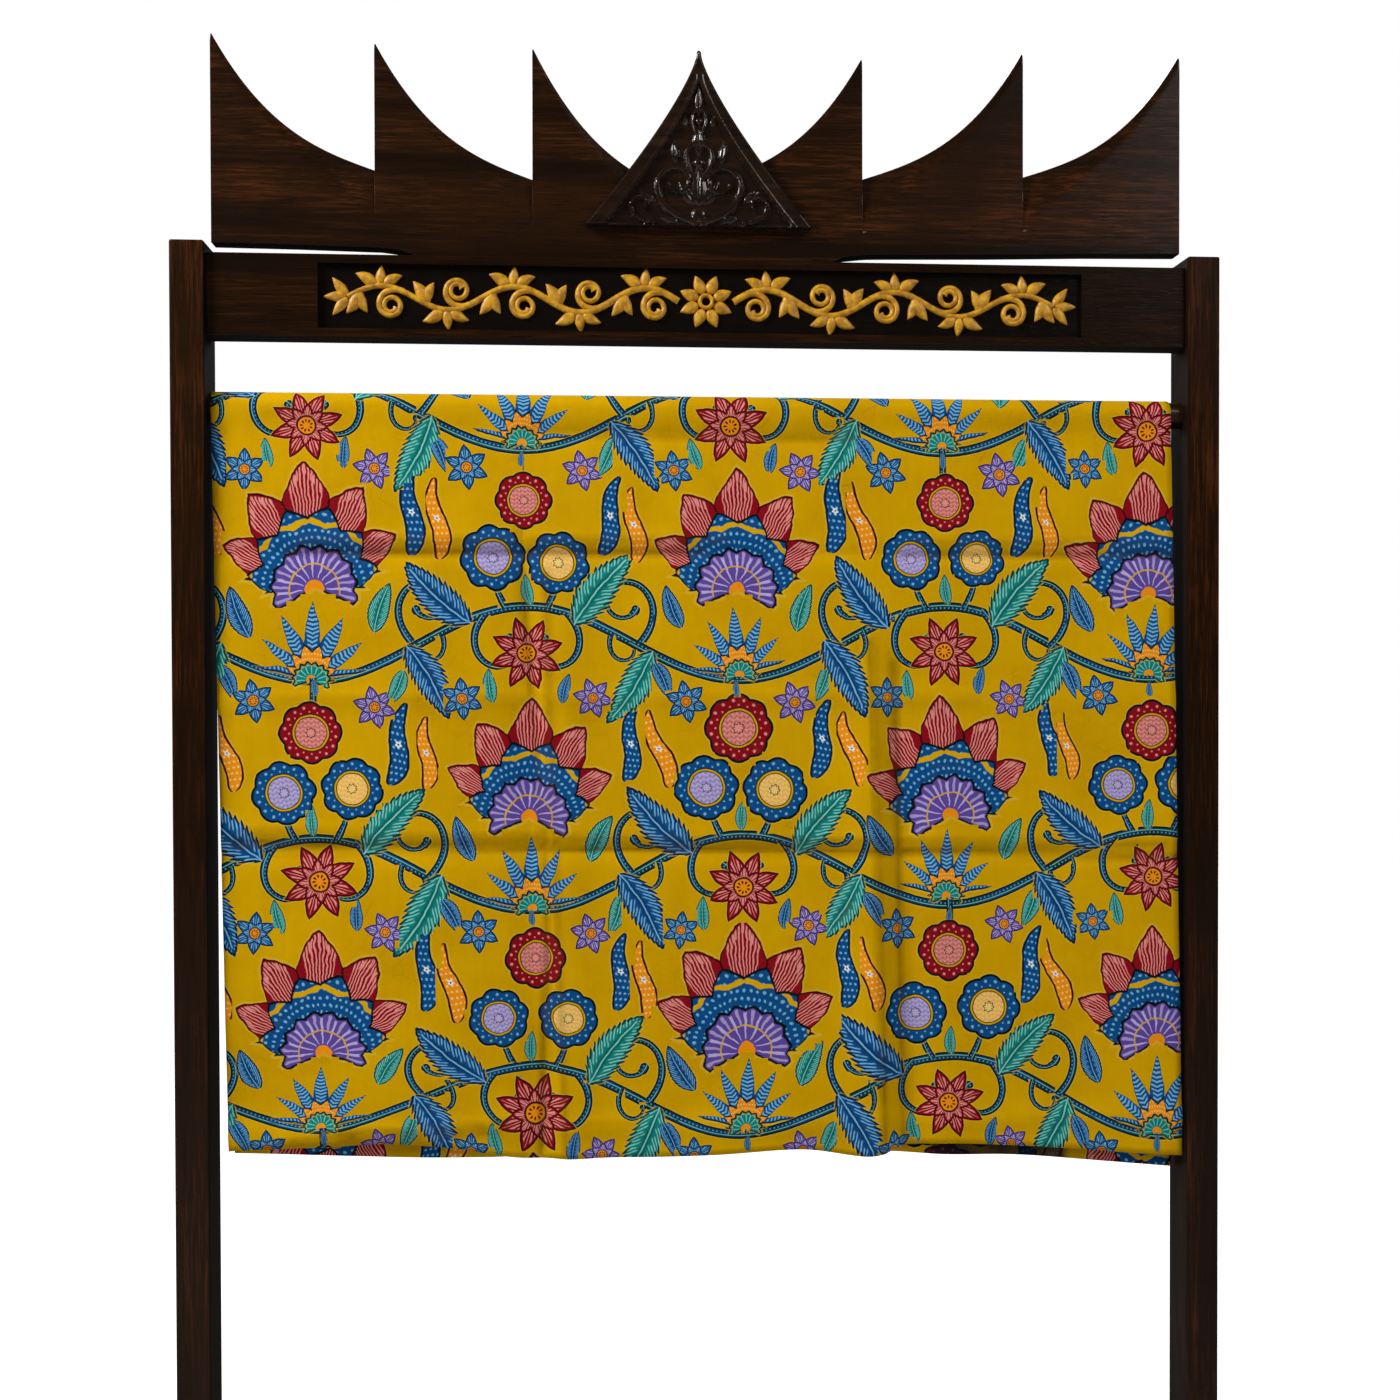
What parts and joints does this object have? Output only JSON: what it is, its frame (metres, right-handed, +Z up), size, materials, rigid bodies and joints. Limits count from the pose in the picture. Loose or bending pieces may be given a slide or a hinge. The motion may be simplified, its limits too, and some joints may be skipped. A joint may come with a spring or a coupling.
{
  "type": "batik cloth on a wooden display stand",
  "caption": "Patterned batik cloth folded over a round rod between two posts, under a header rail with a horned crest board and a carved pediment.",
  "frame": {"origin": "on the floor under the middle of the stand, midway between the posts and midway along the feet", "axes": "+Z up, +X towards the right post seen from the front, -Y towards the viewer in front"},
  "size_m": [1.156, 0.42, 1.7538],
  "materials": {
    "batik_cotton": "yellow cotton with a wax-resist flower pattern in blue, teal, maroon and lilac",
    "stained_wood": "dark brown stain under clear varnish",
    "carved_wood": "near-black stain under glossy varnish",
    "rod_wood": "dark stain, satin"
  },
  "bodies": {
    "root": {"batik_cloth": "batik_cotton", "hanging_rod": "rod_wood", "post_left": "stained_wood", "post_right": "stained_wood", "foot_left": "stained_wood", "foot_right": "stained_wood", "header_rail": "stained_wood", "crest_board": "stained_wood", "pediment": "carved_wood"}
  },
  "joints": []
}
